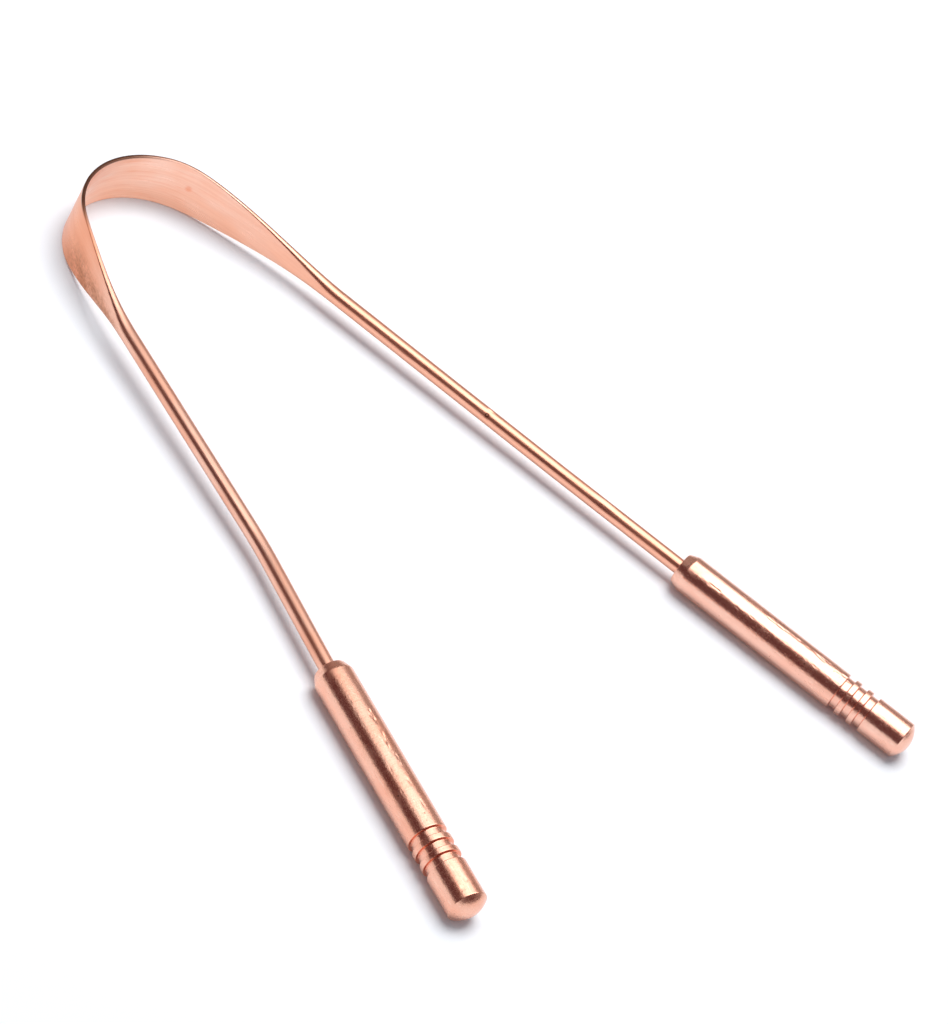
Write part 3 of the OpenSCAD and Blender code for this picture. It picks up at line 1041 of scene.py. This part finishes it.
TABLE_HALF = 3.0
TABLE_DROP = 0.02 * MM
BETWEEN_THE_HANDLES = (0.0, -0.05, 0.0)
WHITE_FROM, WHITE_FULL, LEAST_WHITE = 0.05, 0.16, 0.06
table_material, tree = new_material("white_table")
path = add_node(tree, "ShaderNodeLightPath")
paint = add_node(tree, "ShaderNodeBsdfDiffuse", in_Color=hex_colour("#F8F8FA"))
place = add_node(tree, "ShaderNodeTexCoord")
reach = add_node(tree, "ShaderNodeVectorMath", {0: place.outputs["Object"]},
                 operation="DISTANCE", in_1=BETWEEN_THE_HANDLES)
away = add_node(tree, "ShaderNodeMapRange", {"Value": reach.outputs["Value"]},
                interpolation_type="SMOOTHSTEP",
                in_1=WHITE_FROM, in_2=WHITE_FULL, in_3=LEAST_WHITE, in_4=1.0)
share = all_of(tree, away.outputs[0], path.outputs["Is Glossy Ray"])
white = add_node(tree, "ShaderNodeEmission", in_Color=(1.0, 1.0, 1.0, 1.0), in_Strength=1.0)
both = add_node(tree, "ShaderNodeMixShader", {0: share, 1: paint.outputs[0], 2: white.outputs[0]})
add_node(tree, "ShaderNodeOutputMaterial", {"Surface": both.outputs[0]})
table_span = (-TABLE_HALF, TABLE_HALF)
stage_card("table", level_corners(table_span, table_span, -TABLE_DROP), table_material)
print("table", 2 * TABLE_HALF, "m square, just below the tool")

# %% [markdown]
# ## The room
#
# A white room fills the shadows, weakly and a little blue, as daylight does next to a lamp.
# Only the camera, reflections and clear things see the room itself, plain white, so the
# world has two levels and the light path chooses.

# %% The white room
ROOM_FILL = 0.36
FILL_COLOUR = "#DFF0FF"
world = bpy.data.worlds.new("white_room")
bpy.context.scene.world = world
world.use_nodes = True
tree = world.node_tree
tree.nodes.clear()
path = add_node(tree, "ShaderNodeLightPath")
seen = path.outputs["Is Camera Ray"]
for other_ray in ("Is Glossy Ray", "Is Transmission Ray"):
    seen = add_node(tree, "ShaderNodeMath", {0: seen, 1: path.outputs[other_ray]},
                    operation="MAXIMUM").outputs[0]
level = add_node(tree, "ShaderNodeMapRange", {"Value": seen}, in_To_Min=ROOM_FILL, in_To_Max=1.0)
shade = add_node(tree, "ShaderNodeMix", {"Factor": seen}, data_type="RGBA",
                 in_6=hex_colour(FILL_COLOUR), in_7=hex_colour("#FFFFFF"))
sky = add_node(tree, "ShaderNodeBackground",
               {"Strength": level.outputs["Result"], "Color": shade.outputs[2]})
add_node(tree, "ShaderNodeOutputWorld", {"Surface": sky.outputs[0]})
print("room fills the shadows at", ROOM_FILL)

# %% [markdown]
# ## The softbox
#
# One large softbox hangs almost overhead, a little beyond the tool. The lamp only lights
# the table and the tool. Its reflection is drawn by cards, as its face isn't evenly bright.

# %% Softbox lamp over the table
LAMP_WIDTH, LAMP_DEPTH = 1.3, 0.9
LAMP_PLACE = (0.38, 0.26, 1.40)
LAMP_RADIANCE = 6.3
lamp_data = bpy.data.lights.new("softbox", "AREA")
lamp_data.shape = "RECTANGLE"
lamp_data.size, lamp_data.size_y = LAMP_WIDTH, LAMP_DEPTH
# A surface that shines evenly gives off pi times its radiance from each square metre
lamp_data.energy = LAMP_RADIANCE * math.pi * LAMP_WIDTH * LAMP_DEPTH
softbox = bpy.data.objects.new("softbox", lamp_data)
bpy.context.collection.objects.link(softbox)
softbox.location = LAMP_PLACE
softbox.visible_glossy = False
print("lamp gives", round(lamp_data.energy, 2), "W")

# %% [markdown]
# ## What the metal sees
#
# The highlight on each handle is the reflection of the softbox. Its face is brightest over
# the tool and falls off toward the crown's end, so the left handle, seen more from its end,
# glows less than the right one. On the camera's side a dimmer band, a painted soft edge of the
# softbox, edges it. Round it the room is dark on the camera's side and grey beyond the tool.
# Cards that only reflections see draw all of this: they light nothing, and no camera sees them.

# %% Cards that only reflections see
def reflected_card(name, corners, colour, strength=None):
    """A card of one colour that only reflections see."""
    material, tree = new_material(name)
    shade = add_node(tree, "ShaderNodeEmission", in_Color=hex_colour(colour), in_Strength=1.0)
    if strength is not None:
        tree.links.new(strength(tree), shade.inputs["Strength"])
    add_node(tree, "ShaderNodeOutputMaterial", {"Surface": shade.outputs[0]})
    card = stage_card(name, corners, material)
    for ray in ("camera", "diffuse", "shadow", "transmission"):
        setattr(card, "visible_" + ray, False)


SOFTBOX_BRIGHT, SOFTBOX_DIM = 2.8, 0.25
FALL_FROM, FALL_TO = 0.24, 0.43
FAR_EDGE_SLOPE = 0.18


def softbox_fall(tree):
    """Radiance of the softbox's face, which falls off toward its far edge."""
    place = add_node(tree, "ShaderNodeTexCoord")
    depth = add_node(tree, "ShaderNodeVectorMath", {0: place.outputs["Object"]},
                     operation="DOT_PRODUCT", in_1=(FAR_EDGE_SLOPE, 1.0, 0.0))
    fall = add_node(tree, "ShaderNodeMapRange", {"Value": depth.outputs["Value"]},
                    in_1=FALL_FROM, in_2=FALL_TO, in_3=SOFTBOX_BRIGHT, in_4=SOFTBOX_DIM)
    return fall.outputs[0]


# %% The softbox's face and its painted soft edge
CEILING = 0.70
NEAR, FAR = -0.45, 0.66
FACE_RIGHT = 0.67
# Each side runs aslant, as (x at NEAR, x at FAR)
FACE_LEFT, SOFT_EDGE_LEFT = (-0.19, -0.42), (-0.38, -0.46)
DARK_ROOM, GREY_ROOM, SOFTBOX_EDGE_GLOW = "#5F3D3E", "#A99C99", "#93695E"


def slanted_corners(left, right):
    """Corners at the ceiling between two sides, each (x at NEAR, x at FAR)."""
    return [(left[0], NEAR, CEILING), (right[0], NEAR, CEILING),
            (right[1], FAR, CEILING), (left[1], FAR, CEILING)]


reflected_card("softbox_face", slanted_corners(FACE_LEFT, (FACE_RIGHT, FACE_RIGHT)),
               "#FFFFFF", softbox_fall)
# A dimmer band beside the face, on the camera's side: a painted soft edge of the softbox
reflected_card("softbox_soft_edge", slanted_corners(SOFT_EDGE_LEFT, FACE_LEFT), SOFTBOX_EDGE_GLOW)
print("softbox", round(FAR - NEAR, 2), "m deep, seen at", CEILING, "m above the table")

# %% The room's ceiling and walls
ROOM = 2.5
ROOM_TOP = CEILING + 0.02
HORIZON = 0.19
DARK_TO = 0.1
for name, x_range, y_range, colour in (
        ("dark_ceiling", (-ROOM, DARK_TO), (-ROOM, ROOM), DARK_ROOM),
        ("grey_ceiling", (FACE_RIGHT, ROOM), (-ROOM, ROOM), GREY_ROOM),
        ("dark_ceiling_near", (DARK_TO, FACE_RIGHT), (-ROOM, NEAR), DARK_ROOM),
        ("grey_ceiling_far", (DARK_TO, FACE_RIGHT), (FAR, ROOM), GREY_ROOM)):
    reflected_card(name, level_corners(x_range, y_range, ROOM_TOP), colour)
for name, (x1, y1), (x2, y2), colour in (
        ("left_wall", (-ROOM, -ROOM), (-ROOM, ROOM), DARK_ROOM),
        ("right_wall", (ROOM, -ROOM), (ROOM, ROOM), GREY_ROOM),
        ("near_wall", (-ROOM, -ROOM), (ROOM, -ROOM), DARK_ROOM),
        ("far_wall", (-ROOM, ROOM), (ROOM, ROOM), DARK_ROOM)):
    reflected_card(name, [(x1, y1, HORIZON), (x2, y2, HORIZON), (x2, y2, ROOM_TOP),
                          (x1, y1, ROOM_TOP)], colour)
print("room", 2 * ROOM, "m wide, with its horizon at", HORIZON, "m")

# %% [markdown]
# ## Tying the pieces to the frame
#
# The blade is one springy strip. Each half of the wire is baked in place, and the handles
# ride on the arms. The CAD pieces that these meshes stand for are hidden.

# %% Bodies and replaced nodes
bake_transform(right_wire)
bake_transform(left_wire)
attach(right_handle, "right_arm")
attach(left_handle, "left_arm")
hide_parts("blade_bow", "right_shank")
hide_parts("blade_bow", "left_shank")
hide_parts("right_handle")
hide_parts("left_handle")
